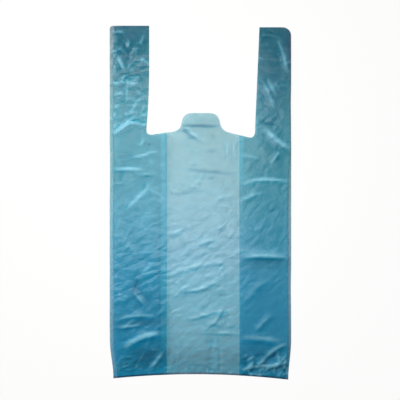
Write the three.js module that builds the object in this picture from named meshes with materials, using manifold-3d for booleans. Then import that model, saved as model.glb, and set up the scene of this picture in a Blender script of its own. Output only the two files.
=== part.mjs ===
// A carrier bag of thin plastic film with two looped handles, lying on its back as it would on a table.
//
// It is built as the real one is. A tube of film has both of its sides tucked in as gussets and is
// welded shut across both ends. A die then cuts away the middle of the top, through every layer,
// which opens the mouth, leaves a hanging tab on each panel and turns each side into a handle.
//
// X runs across the bag, Y from the bottom weld to the tops of the handles, Z up from the surface it
// lies on. The origin is under the middle of the bag. Sizes are in millimetres.
import * as THREE from 'three';
import Module from 'manifold-3d';
import { mergeVertices } from 'three/addons/utils/BufferGeometryUtils.js';

const wasm = await Module();
wasm.setup();

// The flat bag
const bagLength = 546;
const bagWidth = 280;
const leftGusset = 88;
const rightGusset = 80;
const leftFoldStep = 6;
const rightFoldStep = 4;
const filmWall = 0.5;
const weldWidth = 4;
const weldEdge = 0.9;

// How far apart the layers lie. Under a weld they nearly touch.
const weldGap = 0.12;
const liningGap = 0.9;
const pocketGap = 1.1;
const handleGap = 5.6;
const insideHeight = 6.4;
const bottomRise = 46;
const topRise = 42;
const handleRise = 90;
const stackEase = 26;

// The outline: the weld shrinks the film, and the handles end in soft corners
const bottomArch = 7.3;
const leftCornerLift = 2;
const archFade = 95;
const leftDrawIn = 5.6;
const rightDrawIn = 4.4;
const drawInLength = 62;
const leftTopCorner = 5;
const rightTopCorner = 13;
const rightTopDrop = 2.4;
const topDropFade = 60;

// The die: the gap between the handles, down to the mouth, with the tab standing in it
const leftHandleTop = 61;
const leftHandleRoot = 56;
const rightHandleTop = 48;
const rightHandleRoot = 56.5;
const handleBulge = 105;
const mouthDepth = 162;
const leftMouthDip = 8;
const rightMouthDip = 13;
const mouthCorner = 11;
const tabCentre = 0.6;
const tabTopWidth = 54;
const tabFootWidth = 63;
const tabHeight = 27;
const tabCorner = 14;
const tabFlare = 12;
const bulgeRound = 40;
const dieOverrun = 20;
const dieCurveSteps = 6;

// Broad wrinkles that raise the front of the bag. Each lies at a share of the half width from the
// middle and a share of the length from the bottom, turned by degrees from +X, and its three sizes
// are multiples of the common ones.
const wrinkleLength = 92;
const wrinkleWidth = 43;
const wrinkleHeight = 1;
const wrinkles = [
  { across: -0.75, up: 0.7, turn: 35, long: 1, wide: 1, high: 1.1 },
  { across: -0.7, up: 0.58, turn: 2, long: 1.05, wide: 0.95, high: 1 },
  { across: -0.67, up: 0.5, turn: 46, long: 0.9, wide: 1, high: 0.9 },
  { across: -0.63, up: 0.11, turn: 24, long: 1.1, wide: 1.05, high: 1.2 },
  { across: 0.7, up: 0.65, turn: -34, long: 1, wide: 1, high: 1.1 },
  { across: 0.66, up: 0.35, turn: 2, long: 1.05, wide: 1, high: 0.9 },
  { across: 0.71, up: 0.08, turn: 34, long: 0.9, wide: 0.95, high: 1.2 },
  { across: 0.06, up: 0.28, turn: 14, long: 1.3, wide: 1, high: 1 },
  { across: 0.1, up: 0.16, turn: 38, long: 0.87, wide: 1, high: 1 },
  { across: -0.06, up: 0.48, turn: 20, long: 1.1, wide: 1.05, high: 0.8 },
];

// How finely the film is divided: across each third of a panel, across a gusset layer, round a fold,
// along the bag
const panelSteps = 6;
const gussetSteps = 6;
const foldSteps = 4;
const lengthSteps = 29;
const endCrowding = 0.45;
const endFlattening = 0.1;

// 0 before a run starts and 1 after it, with no corner at either end
function ease(distance, run) {
  const t = THREE.MathUtils.clamp(distance / run, 0, 1);
  return t * t * (3 - 2 * t);
}

// How much a corner of the given radius takes off the side, at a distance below the end
function cornerInset(distance, radius) {
  const reach = Math.max(radius - distance, 0);
  return radius - Math.sqrt(Math.max(radius * radius - reach * reach, 0));
}

// The outer folds of the back panel at one height
function outerEdges(y) {
  const shrink = 1 - ease(y, drawInLength);
  const below = bagLength - y;
  return {
    left: -bagWidth / 2 + leftDrawIn * shrink + cornerInset(below, leftTopCorner),
    right: bagWidth / 2 - rightDrawIn * shrink - cornerInset(below, rightTopCorner),
  };
}

// The clear heights between the layers at one height up the bag
function layerGaps(y) {
  const open = ease(y - weldWidth, bottomRise) * ease(bagLength - weldWidth - y, topRise);
  const inHandle = ease(y - (bagLength - mouthDepth - handleRise), handleRise);
  return {
    lining: weldGap + (liningGap - weldGap) * open,
    pocket: weldGap + (pocketGap - weldGap + (handleGap - pocketGap) * inHandle) * open,
    inside: weldGap + (insideHeight - weldGap) * open,
  };
}

// How high the wrinkles raise the front at one place. Each is a long bump, round across and along.
function raisedBy(x, y) {
  const bump = (t) => Math.cos((Math.PI / 2) * Math.min(Math.abs(t), 1)) ** 2;
  return wrinkles.reduce((sum, w) => {
    const turn = THREE.MathUtils.degToRad(w.turn);
    const dx = x - (w.across * bagWidth) / 2;
    const dy = y - w.up * bagLength;
    const along = (dx * Math.cos(turn) + dy * Math.sin(turn)) / (wrinkleLength * w.long);
    const beside = (dy * Math.cos(turn) - dx * Math.sin(turn)) / (wrinkleWidth * w.wide);
    return sum + wrinkleHeight * w.high * bump(2 * along) * bump(2 * beside);
  }, 0);
}

// The middle of the film's wall, in each of its four layers, at one place on the bag
function layerHeights(x, y) {
  const gaps = layerGaps(y);
  const open = Math.min(ease(y, bottomRise), ease(bagLength - y, topRise));
  const raised = raisedBy(x, y) * open;
  const back = filmWall / 2;
  const gussetBack = back + filmWall + gaps.lining;
  const gussetFront = gussetBack + filmWall + gaps.pocket;
  const stack = gussetFront + filmWall + gaps.lining;
  const middle = back + filmWall + gaps.inside;
  // The front lies on the folded gussets at the sides, and eases to its own height between them
  const left = x - (-bagWidth / 2 + leftGusset);
  const right = bagWidth / 2 - rightGusset - x;
  const between = Math.min(left, right);
  const sag = ease(between, stackEase);
  const swell = ease(between + stackEase * 2, stackEase * 2);
  const front = stack + Math.max(middle - stack, 0) * swell - Math.max(stack - middle, 0) * sag;
  return {
    back,
    gussetBack: gussetBack + raised / 3,
    gussetFront: gussetFront + (raised * 2) / 3,
    front: front + raised,
  };
}

// A half circle of film round a fold. side is the way the fold bulges, and offset moves the film
// off its middle, outwards from the centre of the fold. The ends belong to the layers it joins.
function fold(x, low, high, side, offset, upwards) {
  const points = [];
  for (let i = 1; i < foldSteps; i++) {
    const turn = Math.PI * (i / foldSteps - 0.5) * (upwards ? 1 : -1);
    const radius = (high - low) / 2 + offset;
    points.push({
      x: x + side * radius * Math.cos(turn),
      z: (low + high) / 2 + radius * Math.sin(turn),
    });
  }
  return points;
}

// A stretch of one layer, from x to x
function run(from, to, steps, height) {
  return Array.from({ length: steps + 1 }, (_, i) => {
    const x = THREE.MathUtils.lerp(from, to, i / steps);
    return { x, z: height(x) };
  });
}

// A whole panel, with a point where each tuck lies, so that no straight step cuts through a tuck
function panel(stops, height) {
  return stops
    .slice(1)
    .flatMap((stop, i) => run(stops[i], stop, panelSteps, height).slice(i > 0 ? 1 : 0));
}

// One closed line round the film's section at a height: its outer face where offset is half the
// wall, and its inner face where it is minus that. Seen along +Y it runs counterclockwise.
function section(y, offset) {
  const edges = outerEdges(y);
  const at = (x) => layerHeights(x, y);
  const sides = [
    { sign: 1, outer: edges.right, step: rightFoldStep, inner: bagWidth / 2 - rightGusset },
    { sign: -1, outer: edges.left, step: leftFoldStep, inner: -bagWidth / 2 + leftGusset },
  ].map(({ sign, outer, step, inner }) => {
    const rim = at(outer);
    const tuck = at(inner);
    const front = outer - sign * step;
    return {
      sign,
      inner,
      back: outer - sign * ((rim.gussetBack - rim.back) / 2 + filmWall / 2),
      front: front - sign * ((rim.front - rim.gussetFront) / 2 + filmWall / 2),
      tuck: inner + (sign * (tuck.gussetFront - tuck.gussetBack)) / 2,
    };
  });
  const [right, left] = sides;
  const half = (side, upwards) => {
    const backEnd = at(side.back);
    const frontEnd = at(side.front);
    const tuckEnd = at(side.tuck);
    const layers = [
      fold(side.back, backEnd.back, backEnd.gussetBack, side.sign, offset, true),
      run(side.back, side.tuck, gussetSteps, (x) => at(x).gussetBack + offset),
      fold(side.tuck, tuckEnd.gussetBack, tuckEnd.gussetFront, -side.sign, -offset, true),
      run(side.tuck, side.front, gussetSteps, (x) => at(x).gussetFront - offset),
      fold(side.front, frontEnd.gussetFront, frontEnd.front, side.sign, offset, true),
    ].flat();
    return upwards ? layers : layers.reverse();
  };
  const backStops = [left.back, left.inner, right.inner, right.back];
  const frontStops = [right.front, right.inner, left.inner, left.front];
  return [
    panel(backStops, (x) => at(x).back - offset),
    half(right, true),
    panel(frontStops, (x) => at(x).front + offset),
    half(left, false),
  ].flat();
}

// The weld shrinks the film, so the ends of the bag bow, and the bow fades along it. across runs
// from -1 to 1 between the bag's own edges.
function bowed(x, y) {
  const { left, right } = outerEdges(y);
  const across = THREE.MathUtils.clamp((2 * x - left - right) / (right - left), -1, 1);
  const arch = bottomArch * (1 - across * across) + (leftCornerLift * (1 - across)) / 2;
  const drop = rightTopDrop * ease(x, bagWidth / 4) * (1 - ease(bagLength - y, topDropFade));
  return y + arch * (1 - ease(y, archFade)) - drop;
}

// Triangles that fill a closed line of points round one end. Seen from above the end is bowed, so the
// line is traced with the heights made small beside the bow, and no triangle can span the bow.
function filling(ring) {
  const outline = ring.map(([x, y, z]) => new THREE.Vector2(x, y + z * endFlattening));
  return THREE.ShapeUtils.triangulateShape(outline, []);
}

// Joins sections along the bag into one closed surface, with a flat face over each end
function loft(stations, sectionAt) {
  const rings = stations.map((y) => sectionAt(y).map((p) => [p.x, bowed(p.x, y), p.z]));
  const count = rings[0].length;
  const index = [];
  for (let s = 0; s + 1 < rings.length; s++) {
    for (let i = 0; i < count; i++) {
      const a = s * count + i;
      const b = s * count + ((i + 1) % count);
      index.push(a, b + count, b, a, a + count, b + count);
    }
  }
  for (const s of [0, rings.length - 1]) {
    const base = s * count;
    for (const [a, b, c] of filling(rings[s])) {
      index.push(base + a, base + (s ? c : b), base + (s ? b : c));
    }
  }
  const geometry = new THREE.BufferGeometry();
  geometry.setAttribute('position', new THREE.Float32BufferAttribute(rings.flat(2), 3));
  geometry.setIndex(index);
  return geometry;
}

// A closed geometry as a solid that can be joined and cut
function solid(geometry) {
  for (const name of ['normal', 'uv']) geometry.deleteAttribute(name);
  const merged = mergeVertices(geometry);
  return new wasm.Manifold(
    new wasm.Mesh({
      numProp: 3,
      vertProperties: new Float32Array(merged.attributes.position.array),
      triVerts: new Uint32Array(merged.index.array),
    }),
  );
}

// Heights for the loft, closer together near both ends
function stations(from, to) {
  return Array.from({ length: lengthSteps + 1 }, (_, i) => {
    const t = i / lengthSteps;
    const crowded = t - (endCrowding * Math.sin(2 * Math.PI * t)) / (2 * Math.PI);
    return THREE.MathUtils.lerp(from, to, crowded);
  });
}

// What the weld fills between the two gusset layers on one side, from the middle of one wall to the
// middle of the other. It stops a little short of the weld's own edges, and as far out as the
// narrower of its two ends allows.
function weldFill(sign, from, to) {
  const narrowest = to < bagLength / 2 ? outerEdges(0) : outerEdges(bagLength);
  const outer = sign > 0 ? narrowest.right - rightFoldStep : narrowest.left + leftFoldStep;
  const inner = sign > 0 ? bagWidth / 2 - rightGusset : -bagWidth / 2 + leftGusset;
  const ends = [inner, outer - sign * filmWall * 2].sort((a, b) => a - b);
  const between = (y) => [
    ...run(ends[0], ends[1], 1, (x) => layerHeights(x, y).gussetBack),
    ...run(ends[1], ends[0], 1, (x) => layerHeights(x, y).gussetFront),
  ];
  return solid(loft([from, to], between));
}

// A closed path through corners, each rounded from as far back along its two sides as its size says,
// but never from past the middle of a side. A corner with no size stays sharp.
function roundedShape(corners) {
  const shape = new THREE.Shape();
  corners.forEach((corner, i) => {
    const before = corners[(i + corners.length - 1) % corners.length];
    const after = corners[(i + 1) % corners.length];
    const here = new THREE.Vector2(corner.x, corner.y);
    const towards = (other) => {
      const way = new THREE.Vector2(other.x, other.y).sub(here);
      const setback = Math.min(corner.size ?? 0, way.length() / 2);
      return here.clone().add(way.setLength(setback));
    };
    const start = towards(before);
    const end = towards(after);
    if (i === 0) shape.moveTo(start.x, start.y);
    else shape.lineTo(start.x, start.y);
    if (corner.size) shape.quadraticCurveTo(here.x, here.y, end.x, end.y);
  });
  shape.closePath();
  return shape;
}

// What the die takes away: everything between the handles, apart from the tab
function dieOutline() {
  const top = bagLength + dieOverrun;
  const left = -bagWidth / 2;
  const right = bagWidth / 2;
  const mouth = bagLength - mouthDepth;
  const bulge = bagLength - handleBulge;
  return roundedShape([
    { x: left + leftHandleTop, y: top },
    { x: left + leftHandleTop, y: bulge, size: bulgeRound },
    { x: left + leftHandleRoot, y: mouth - leftMouthDip, size: mouthCorner },
    { x: tabCentre - tabFootWidth / 2, y: mouth, size: tabFlare },
    { x: tabCentre - tabTopWidth / 2, y: mouth + tabHeight, size: tabCorner },
    { x: tabCentre + tabTopWidth / 2, y: mouth + tabHeight, size: tabCorner },
    { x: tabCentre + tabFootWidth / 2, y: mouth, size: tabFlare },
    { x: right - rightHandleRoot, y: mouth - rightMouthDip, size: mouthCorner },
    { x: right - rightHandleTop, y: top },
  ]);
}

function die() {
  const highest = insideHeight + handleGap + filmWall * 4;
  const geometry = new THREE.ExtrudeGeometry(dieOutline(), {
    depth: highest + 2 * dieOverrun,
    bevelEnabled: false,
    curveSegments: dieCurveSteps,
  });
  geometry.translate(0, 0, -dieOverrun);
  return solid(geometry);
}

function buildBag() {
  const open = stations(weldWidth, bagLength - weldWidth);
  const outside = solid(loft([0, ...open, bagLength], (y) => section(y, filmWall / 2)));
  const inside = solid(loft(open, (y) => section(y, -filmWall / 2)));
  let bag = outside.subtract(inside);
  for (const sign of [-1, 1]) {
    bag = bag.add(weldFill(sign, weldEdge, weldWidth - weldEdge));
    bag = bag.add(weldFill(sign, bagLength - weldWidth + weldEdge, bagLength - weldEdge));
  }
  return bag.subtract(die());
}

function geometryOf(manifold) {
  const mesh = manifold.getMesh();
  const geometry = new THREE.BufferGeometry();
  geometry.setAttribute('position', new THREE.BufferAttribute(mesh.vertProperties, mesh.numProp));
  geometry.setIndex(new THREE.BufferAttribute(mesh.triVerts, 1));
  const faceted = geometry.toNonIndexed();
  faceted.computeVertexNormals();
  return faceted;
}

const film = new THREE.MeshStandardMaterial({
  name: 'blue_film',
  color: 0x4f9fc0,
  roughness: 0.4,
  metalness: 0,
  transparent: true,
  opacity: 0.75,
});

const bag = new THREE.Mesh(geometryOf(buildBag()), film);
bag.name = 'carrier_bag';
bag.position.set(0, -bagLength / 2, 0);

const model = new THREE.Group();
model.add(bag);

export default model;
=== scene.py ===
# %% [markdown]
# # A thin plastic carrier bag
#
# This lesson dresses one flat carrier bag of translucent blue film. The bag lies on its back, pressed
# flat as it came out of the pack, and a camera looks straight down on it. The solid model that comes
# with the lesson has the right size, its layers and its broad wrinkles. Here the same bag gets a wall
# as thin as film, the small creases that light catches on, and a finish that lets the white table
# through. It is loaded first, because everything else is placed in its frame, in metres.

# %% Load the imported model
import math

import bpy
import numpy as np
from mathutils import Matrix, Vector
from mathutils.geometry import delaunay_2d_cdt


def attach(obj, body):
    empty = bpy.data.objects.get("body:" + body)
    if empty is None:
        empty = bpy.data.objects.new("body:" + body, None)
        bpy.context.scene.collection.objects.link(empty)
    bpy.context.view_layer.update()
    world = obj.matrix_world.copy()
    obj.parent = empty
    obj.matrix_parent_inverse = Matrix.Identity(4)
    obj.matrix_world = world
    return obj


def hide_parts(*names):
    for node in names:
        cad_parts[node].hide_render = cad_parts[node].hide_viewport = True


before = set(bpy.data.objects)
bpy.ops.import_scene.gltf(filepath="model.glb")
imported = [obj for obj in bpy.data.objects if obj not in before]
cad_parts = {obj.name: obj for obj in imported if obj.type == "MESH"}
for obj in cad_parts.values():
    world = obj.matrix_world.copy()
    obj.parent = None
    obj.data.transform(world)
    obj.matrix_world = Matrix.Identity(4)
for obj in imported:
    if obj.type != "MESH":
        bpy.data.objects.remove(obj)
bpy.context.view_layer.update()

# %% [markdown]
# ## The sizes of the bag
#
# A carrier bag is a tube of film. Both sides of the tube are tucked in as gussets, both ends are welded
# shut, and a die cuts the middle of the top away. So the whole bag is told by a few sizes: how long and
# wide it is when flat, how deep each gusset goes, and how far apart the layers lie. They are the solid
# model's own sizes, in millimetres, so that the film lands where the solid is. Only the handles lie a
# little lower, which leaves room for their creases. Y is counted from the bottom weld while the shape is
# worked out, and moved to the middle of the bag at the end.

# %% The flat bag, in millimetres
bag_length = 546
bag_width = 280
left_gusset = 88
right_gusset = 80
film = 0.12
end_seal = 0.5

left_tuck_line = -bag_width / 2 + left_gusset
right_tuck_line = bag_width / 2 - right_gusset

# %% How far apart the middles of the layers lie, in millimetres
weld_pitch = 0.16
lining_pitch = 1.4
pocket_pitch = 1.6
handle_pitch = 5.3
inside_pitch = 6.9
weld_width = 4
bottom_rise = 46
top_rise = 42
handle_rise = 90
stack_ease = 26
mouth_depth = 162
print("film area about", round(2 * bag_length * (bag_width + left_gusset + right_gusset) / 1e6, 3), "m2")


# %% [markdown]
# ## Soft steps
#
# Nearly every size here changes gradually: the layers part above the weld, the outline draws in near the
# bottom. One small curve serves for all of them. A straight ramp would leave a visible line where it
# starts and stops, so the ramp has no corner at either end.

# %% A ramp without corners
def ease(distance, run):
    """0 before a run and 1 after it: t * t * (3 - 2 * t), where t is distance / run held in 0..1."""
    t = np.clip(distance / run, 0, 1)
    return t * t * (3 - 2 * t)


print("halfway up a ramp:", float(ease(5.0, 10)))

# %% [markdown]
# ## The outline
#
# Seen from above the bag is almost a rectangle, but the real one isn't ruled: heat has shrunk it beside
# the bottom weld, the handle tops have soft corners, and the long edges wander by a few tenths of a
# millimetre. The outer folds are therefore two curves along the bag, and the ends are bowed by moving
# each point along the bag by an amount that depends on how far across it lies.

# %% Sizes of the outline
bottom_arch = 7.3
left_corner_lift = 2
arch_fade = 95
left_draw_in = 5.6
right_draw_in = 4.4
draw_in_length = 62
left_top_corner = 5
right_top_corner = 13
right_top_drop = 2.4
top_drop_fade = 60
edge_wander = 0.22


def corner_inset(distance, radius):
    """What a round corner takes off the side: radius - sqrt(radius squared - reach squared)."""
    reach = np.maximum(radius - distance, 0)
    return radius - np.sqrt(np.maximum(radius**2 - reach**2, 0))


def wander(y, phase):
    """A slow unevenness along a fold: three sine waves with lengths that share no factor."""
    waves = np.sin(y / 23.0 + phase) + np.sin(y / 9.1 + 2.3 * phase) / 2 + np.sin(y / 41.0 - phase)
    return edge_wander * waves


def outer_edges(y):
    """The outer folds of the back panel: half the width, less the draw-in and the corner, inwards."""
    shrink = 1 - ease(y, draw_in_length)
    below = bag_length - y
    left = -bag_width / 2 + left_draw_in * shrink + corner_inset(below, left_top_corner)
    right = bag_width / 2 - right_draw_in * shrink - corner_inset(below, right_top_corner)
    return left + np.maximum(wander(y, 0.4), 0), right - np.maximum(wander(y, 2.1), 0)


def bowed(x, y):
    """y moved along the bag: an arch of 1 - across squared at the bottom, and a drop at the top right."""
    left, right = outer_edges(y)
    across = np.clip((2 * x - left - right) / (right - left), -1, 1)
    arch = bottom_arch * (1 - across**2) + left_corner_lift * (1 - across) / 2
    drop = right_top_drop * ease(x, bag_width / 4) * (1 - ease(bag_length - y, top_drop_fade))
    return y + arch * (1 - ease(y, arch_fade)) - drop


# %% [markdown]
# ## Creases as lines
#
# What makes film look like film is its creases: long soft folds from when it was packed, and short sharp
# ones from handling. Noise alone looks like cloth or water, because real creases are lines that start,
# run and fade out. So each crease is a line of points with a height. Near the line the film rises in a
# bell, steep on one side and gentle on the other, as a fold that has been pressed over does.
#
# Each crease is added up on three lattices of one-millimetre squares. The relief is its height. The painted
# light marks are narrower: a ridge gets a painted highlight on its near side and painted shade just beyond
# it, and a furrow gets painted shade along its bottom. The folds say where film lies double and lets less
# light through. The shape reads the first, and the finish reads the other two.

# %% The lattice that creases are added up on
lattice_step = 1.0
lattice_x = np.arange(-156, 157, lattice_step)
lattice_y = np.arange(-14, 562, lattice_step)
across_lattice, along_lattice = np.meshgrid(lattice_x, lattice_y)
print("lattice of", across_lattice.shape, "places")


# %% Lines, and how far each place lies from them
def softened(points, rounds=2):
    """Cuts the corners off a line: each leg keeps its points at a quarter and three quarters."""
    line = np.asarray(points, float)
    for _ in range(rounds if len(line) > 2 else 0):
        near = line[:-1] * 0.75 + line[1:] * 0.25
        far = line[:-1] * 0.25 + line[1:] * 0.75
        inner = np.stack([near, far], axis=1).reshape(-1, 2)
        line = np.concatenate([line[:1], inner, line[-1:]])
    return line


def near_line(line, x, y):
    """For each place: its distance from a line, positive to its left, and the share along the line."""
    legs = np.diff(line, axis=0)
    lengths = np.hypot(legs[:, 0], legs[:, 1])
    before = np.concatenate([[0], np.cumsum(lengths)])
    from_x = x[..., None] - line[:-1, 0]
    from_y = y[..., None] - line[:-1, 1]
    t = np.clip((from_x * legs[:, 0] + from_y * legs[:, 1]) / lengths**2, 0, 1)
    dx = from_x - t * legs[:, 0]
    dy = from_y - t * legs[:, 1]
    distance = np.hypot(dx, dy)
    nearest = distance.argmin(-1)[..., None]
    side = np.where(legs[:, 0] * dy - legs[:, 1] * dx < 0, -1, 1)
    signed = np.take_along_axis(distance * side, nearest, -1)[..., 0]
    share = np.take_along_axis(before[:-1] + t * lengths, nearest, -1)[..., 0] / before[-1]
    return signed, share


# %% Add one crease to the lattices
soft_side = 1.6
bell_reach = 2.2
end_taper = 0.7
mark_width = 0.55
mark_shift = 0.9
# the near, lit side of a ridge gets a painted highlight, and the side beyond it painted shade
lit_share = 1.5
dark_share = 0.35


def bell(distance, width):
    """exp(-(distance / width) squared)."""
    return np.exp(-((distance / width) ** 2))


def add_crease(relief, painted_crease_light, folds, points, height, width):
    """Adds height * bell * taper to relief, with a wider bell on the soft side, and taper is the sine of
    half a turn times the share along the line, to a power. Narrow bells go into marks and folds: near
    the line for what is lit, and a shift beyond it for what is dark or double."""
    line = softened(points)
    reach = width * soft_side * bell_reach
    low, high = line.min(0) - reach, line.max(0) + reach
    columns = np.searchsorted(lattice_x, [low[0], high[0]])
    rows = np.searchsorted(lattice_y, [low[1], high[1]])
    part = (slice(*rows), slice(*columns))
    distance, share = near_line(line, across_lattice[part], along_lattice[part])
    taper = np.sin(np.pi * share) ** end_taper
    relief[part] += height * taper * bell(distance, np.where(distance < 0, width, width * soft_side))
    narrow = width * mark_width
    beyond = bell(distance + width * mark_shift, narrow)
    near = bell(distance - width * mark_shift / 2, narrow)
    # painted highlight near a ridge less painted shade beyond it, or painted shade along a furrow
    lit = near * lit_share - beyond * dark_share if height > 0 else bell(distance, narrow)
    painted_crease_light[part] += height * taper * lit
    folds[part] += abs(height) * taper * (beyond if height > 0 else bell(distance, narrow))


# %% Read a lattice anywhere
def read_lattice(field, x, y):
    """The field between lattice places, blended in proportion both ways."""
    column = np.clip((x - lattice_x[0]) / lattice_step, 0, len(lattice_x) - 1.001)
    row = np.clip((y - lattice_y[0]) / lattice_step, 0, len(lattice_y) - 1.001)
    i, j = column.astype(int), row.astype(int)
    u, v = column - i, row - j
    lower = field[j, i] * (1 - u) + field[j, i + 1] * u
    upper = field[j + 1, i] * (1 - u) + field[j + 1, i + 1] * u
    return lower * (1 - v) + upper * v


# %% [markdown]
# ## Where the large creases run
#
# The large creases were read off one after another, and written down as a few points each, in millimetres
# across the bag and up from the bottom weld. A positive height is a ridge that catches the light, and a
# negative one is a fold that lies in shade. The last number is how wide the steep side is.

# %% Creases of the left side
crease_height = 1.5
crease_narrowing = 0.7
left_creases = [
    ([(-136, 376), (-116, 391), (-96, 408)], 0.9, 4.5),
    ([(-111, 397), (-86, 402)], -0.5, 4),
    ([(-93, 359), (-83, 372)], 0.6, 4),
    ([(-133, 345), (-93, 343)], -0.5, 4),
    ([(-113, 341), (-87, 344), (-76, 350), (-62, 350)], 0.6, 4),
    ([(-134, 323), (-112, 324), (-88, 323)], 0.8, 4.5),
    ([(-99, 316), (-70, 316)], 0.3, 4),
    ([(-113, 260), (-96, 279), (-74, 299)], 0.6, 6),
    ([(-93, 195), (-64, 195)], 0.35, 5),
    ([(-97, 205), (-113, 197)], 0.3, 4),
    ([(-92, 160), (-70, 168)], 0.5, 4),
    ([(-92, 160), (-70, 184)], 0.3, 5),
    ([(-96, 158), (-103, 136)], -0.6, 4),
    ([(-103, 134), (-86, 115)], 0.6, 4),
    ([(-130, 91), (-113, 97), (-90, 99), (-70, 97)], 0.6, 5),
    ([(-129, 80), (-106, 82), (-90, 85)], 0.6, 4),
    ([(-116, 47), (-105, 58), (-85, 67), (-62, 71)], 1.2, 7),
    ([(-79, 16), (-68, 26), (-56, 44)], 0.8, 5),
]
print(len(left_creases), "creases on the left side")

# %% Creases of the left handle
left_handle_creases = [
    ([(-134, 416), (-123, 424)], 0.6, 4),
    ([(-113, 464), (-115, 425)], 0.5, 4),
    ([(-109, 450), (-94, 458)], 0.5, 4),
    ([(-129, 498), (-118, 476)], 0.8, 5),
    ([(-135, 494), (-126, 505)], 0.5, 4),
    ([(-94, 495), (-79, 484)], 0.5, 5),
    ([(-100, 448), (-92, 437)], 0.4, 4),
    ([(-134, 376), (-106, 395), (-83, 401)], 0.5, 4),
    ([(-135, 456), (-118, 458), (-107, 453)], 0.5, 4),
    ([(-133, 436), (-118, 442)], 0.5, 4),
    ([(-126, 524), (-112, 511), (-107, 490)], -0.5, 4),
    ([(-89, 533), (-93, 515)], 0.5, 4),
    ([(-107, 411), (-96, 425)], 0.5, 4),
]
print(len(left_handle_creases), "creases on the left handle")

# %% Creases of the middle
middle_creases = [
    ([(-31, 137), (-3, 138), (16, 147), (33, 157)], 0.7, 4.5),
    ([(-20, 93), (19, 104), (26, 110)], 0.8, 4.5),
    ([(3, 76), (26, 93), (36, 113)], 0.9, 4.5),
    ([(7, 73), (61, 72)], 0.5, 4),
    ([(-52, 159), (-36, 165), (-16, 172), (10, 179), (37, 182)], 0.4, 6),
    ([(-25, 325), (5, 321), (27, 320), (43, 317), (60, 321)], -0.5, 5),
    ([(-43, 284), (-19, 289), (2, 295)], -0.4, 5),
    ([(19, 272), (32, 282), (48, 284)], 0.4, 5),
    ([(39, 371), (41, 337)], 0.5, 4),
    ([(50, 368), (51, 340)], 0.4, 4),
    ([(15, 52), (12, 34), (12, 16)], -0.15, 5),
    ([(23, 66), (17, 44)], 0.4, 5),
    ([(28, 58), (32, 36), (30, 14)], 0.35, 5),
    ([(-28, 390), (-21, 380), (-7, 371)], -0.8, 4),
    ([(-30, 392.5), (0, 391.5), (31, 390.5)], -0.9, 4),
    ([(-22, 388), (-8, 374), (6, 367)], 0.6, 4),
    ([(33, 77), (58, 91)], 0.3, 5),
    ([(-50, 222), (-30, 229), (-22, 237)], 0.3, 5),
    ([(-11, 203), (10, 215), (32, 214)], 0.35, 5),
    ([(-45, 126), (-16, 149)], 0.3, 5),
]
print(len(middle_creases), "creases in the middle")

# %% Creases of the right side and the right handle
right_creases = [
    ([(89, 400), (103, 395), (117, 394), (117, 406)], -0.6, 4),
    ([(97, 386), (117, 366), (137, 353)], 1.0, 7),
    ([(109, 333), (122, 351)], 0.8, 4),
    ([(63, 345), (73, 344), (91, 339)], 0.4, 4),
    ([(63, 299), (82, 307), (103, 308), (138, 305)], 0.7, 5),
    ([(61, 273), (82, 285), (97, 288)], 0.5, 5),
    ([(101, 261), (113, 262), (125, 266)], -0.4, 4),
    ([(66, 188), (95, 191), (134, 188)], 0.8, 5),
    ([(83, 74), (97, 89), (110, 101)], 0.6, 5),
    ([(88, 19), (105, 39), (120, 50), (134, 56)], 1.0, 5),
    ([(61, 14), (88, 20), (118, 21), (131, 24)], 0.9, 4),
    ([(117, 524), (126, 500), (132, 470)], 0.7, 5),
    ([(92, 462), (104, 440), (110, 420)], 0.5, 5),
    ([(100, 464), (115, 435)], 0.6, 6),
    ([(63, 64), (95, 63), (123, 58)], 0.5, 8),
    ([(66, 12), (78, 22), (84, 30)], 0.9, 4),
    ([(96, 10), (110, 20), (136, 28)], 0.9, 4),
    ([(112, 12), (122, 26), (136, 40)], 0.8, 4),
    ([(66, 120), (87, 144), (113, 157)], 0.3, 8),
]
print(len(right_creases), "creases on the right side")

# %% [markdown]
# ## The small creases
#
# Between the large creases the film is full of short ones. They are too many to write down, so they are
# drawn at random, with a fixed seed so that the bag is the same every time. The handles were gripped
# most and have the most of them. Most run up to the right, as on the real bag.

# %% Short creases drawn at random
small_seed = 11
small_width = (1.6, 3.2)
small_slant = (28, 42)
small_bow = 0.12
small_regions = [
    # left, right, bottom, top, how many, shortest, longest, lowest, highest
    (-137, -82, 388, 536, 110, 7, 24, 0.2, 0.75),
    (86, 137, 388, 536, 34, 8, 30, 0.12, 0.4),
    (-136, -54, 16, 392, 96, 8, 36, 0.12, 0.5),
    (-50, 58, 10, 384, 110, 6, 30, 0.1, 0.45),
    (62, 137, 16, 390, 40, 8, 36, 0.08, 0.28),
    (-130, 66, 6, 26, 40, 5, 12, 0.2, 0.6),
    (66, 134, 8, 38, 50, 6, 20, 0.4, 1.1),
]


def small_creases(seed):
    """Short bowed lines: a random middle, slant and length, with the middle point moved aside."""
    draw = np.random.default_rng(seed)
    lines = []
    for left, right, bottom, top, count, short, long, low, high in small_regions:
        middle = draw.uniform((left, bottom), (right, top), (count, 2))
        slant = np.radians(draw.normal(*small_slant, count))
        half = draw.uniform(short, long, count) / 2
        way = np.stack([np.cos(slant), np.sin(slant)], -1)
        aside = np.stack([-way[:, 1], way[:, 0]], -1) * (half * draw.normal(0, small_bow, count) * 2)[:, None]
        line = np.stack([middle - way * half[:, None], middle + aside, middle + way * half[:, None]], 1)
        height = draw.uniform(low, high, count) * draw.choice([1, 1, -1], count)
        lines += list(zip(line, height, draw.uniform(*small_width, count)))
    return lines


print(len(small_creases(small_seed)), "short creases")

# %% [markdown]
# ## Broad wrinkles, waves and the puckers of the weld
#
# Under the creases the film isn't flat either. The broad wrinkles are the solid model's own ten, given
# again here. Very low waves stand for the way any sheet of film lies, never quite down. Beside the bottom
# weld the hot jaws have gathered the film into short upright puckers.

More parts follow.
